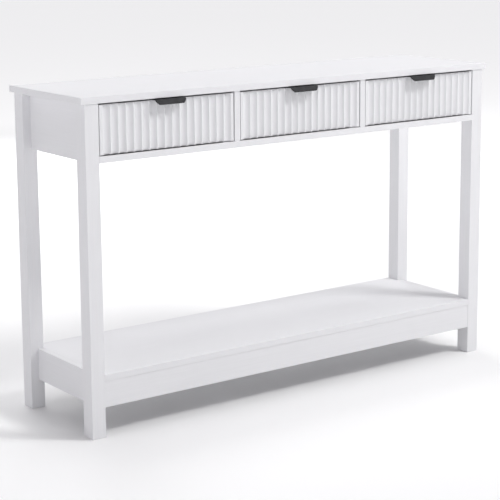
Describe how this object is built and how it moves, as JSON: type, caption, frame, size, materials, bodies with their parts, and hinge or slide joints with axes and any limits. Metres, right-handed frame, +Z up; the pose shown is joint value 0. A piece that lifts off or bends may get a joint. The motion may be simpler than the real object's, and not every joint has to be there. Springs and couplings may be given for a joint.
{
  "type": "console table",
  "caption": "Long narrow white console table on square legs, with fluted drawers under the top on ball-bearing slides, black lip handles and a lower shelf.",
  "frame": {"origin": "on the floor, in the middle of the overall box, whose front is the tips of the handles", "axes": "+Z up, +X along the table's length to the right seen from the front, the drawers open towards -Y"},
  "size_m": [1.2, 0.337, 0.764],
  "materials": {
    "white_board": "white satin lacquer on fibreboard with a faint grain",
    "white_leg": "white satin lacquer on solid wood",
    "white_front": "white satin lacquer on milled fibreboard",
    "drawer_box": "matte white laminate",
    "drawer_bottom": "matte white hardboard",
    "black_handle": "matte black powder coat",
    "slide_steel": "bright zinc plated",
    "cage_steel": "plain pressed steel with polished balls",
    "cam_metal": "zinc die cast",
    "screw_steel": "zinc plated",
    "dowel_wood": "plain beech"
  },
  "bodies": {
    "table": {"top_panel": "white_board", "front_left_leg": "white_leg", "front_right_leg": "white_leg", "rear_left_leg": "white_leg", "rear_right_leg": "white_leg", "left_apron": "white_board", "right_apron": "white_board", "back_panel": "white_board", "drawer_board": "white_board", "left_divider": "white_board", "right_divider": "white_board", "lower_shelf": "white_board", "shelf_front_rail": "white_board", "shelf_rear_rail": "white_board", "shelf_left_rail": "white_board", "shelf_right_rail": "white_board", "frame_dowels": "dowel_wood", "frame_cam_locks": "cam_metal", "frame_cam_bolts": "screw_steel", "frame_screws": "screw_steel", "fixed_rails_1": "slide_steel", "fixed_rails_2": "slide_steel", "fixed_rails_3": "slide_steel"},
    "drawer_1": {"drawer_1_front": "white_front", "drawer_1_left_side": "drawer_box", "drawer_1_right_side": "drawer_box", "drawer_1_back": "drawer_box", "drawer_1_bottom": "drawer_bottom", "drawer_1_handle": "black_handle", "drawer_1_handle_screws": "screw_steel", "drawer_1_slide_rails": "slide_steel", "drawer_1_cam_locks": "cam_metal", "drawer_1_cam_bolts": "screw_steel", "drawer_1_screws": "screw_steel"},
    "ball_cages_1": {"ball_cages_1": "cage_steel"},
    "drawer_2": {"drawer_2_front": "white_front", "drawer_2_left_side": "drawer_box", "drawer_2_right_side": "drawer_box", "drawer_2_back": "drawer_box", "drawer_2_bottom": "drawer_bottom", "drawer_2_handle": "black_handle", "drawer_2_handle_screws": "screw_steel", "drawer_2_slide_rails": "slide_steel", "drawer_2_cam_locks": "cam_metal", "drawer_2_cam_bolts": "screw_steel", "drawer_2_screws": "screw_steel"},
    "ball_cages_2": {"ball_cages_2": "cage_steel"},
    "drawer_3": {"drawer_3_front": "white_front", "drawer_3_left_side": "drawer_box", "drawer_3_right_side": "drawer_box", "drawer_3_back": "drawer_box", "drawer_3_bottom": "drawer_bottom", "drawer_3_handle": "black_handle", "drawer_3_handle_screws": "screw_steel", "drawer_3_slide_rails": "slide_steel", "drawer_3_cam_locks": "cam_metal", "drawer_3_cam_bolts": "screw_steel", "drawer_3_screws": "screw_steel"},
    "ball_cages_3": {"ball_cages_3": "cage_steel"}
  },
  "joints": [
    {"name": "drawer_1_slide", "type": "slide", "parent": "table", "child": "drawer_1", "axis": [0, -1, 0], "range_m": [0, 0.18]},
    {"name": "cages_1_slide", "type": "slide", "parent": "table", "child": "ball_cages_1", "axis": [0, -1, 0], "range_m": [0, 0.09]},
    {"name": "drawer_2_slide", "type": "slide", "parent": "table", "child": "drawer_2", "axis": [0, -1, 0], "range_m": [0, 0.18]},
    {"name": "cages_2_slide", "type": "slide", "parent": "table", "child": "ball_cages_2", "axis": [0, -1, 0], "range_m": [0, 0.09]},
    {"name": "drawer_3_slide", "type": "slide", "parent": "table", "child": "drawer_3", "axis": [0, -1, 0], "range_m": [0, 0.18]},
    {"name": "cages_3_slide", "type": "slide", "parent": "table", "child": "ball_cages_3", "axis": [0, -1, 0], "range_m": [0, 0.09]}
  ],
  "couplings": [
    {"joint": "cages_1_slide", "follows": "drawer_1_slide", "ratio": 0.5},
    {"joint": "cages_2_slide", "follows": "drawer_2_slide", "ratio": 0.5},
    {"joint": "cages_3_slide", "follows": "drawer_3_slide", "ratio": 0.5}
  ]
}
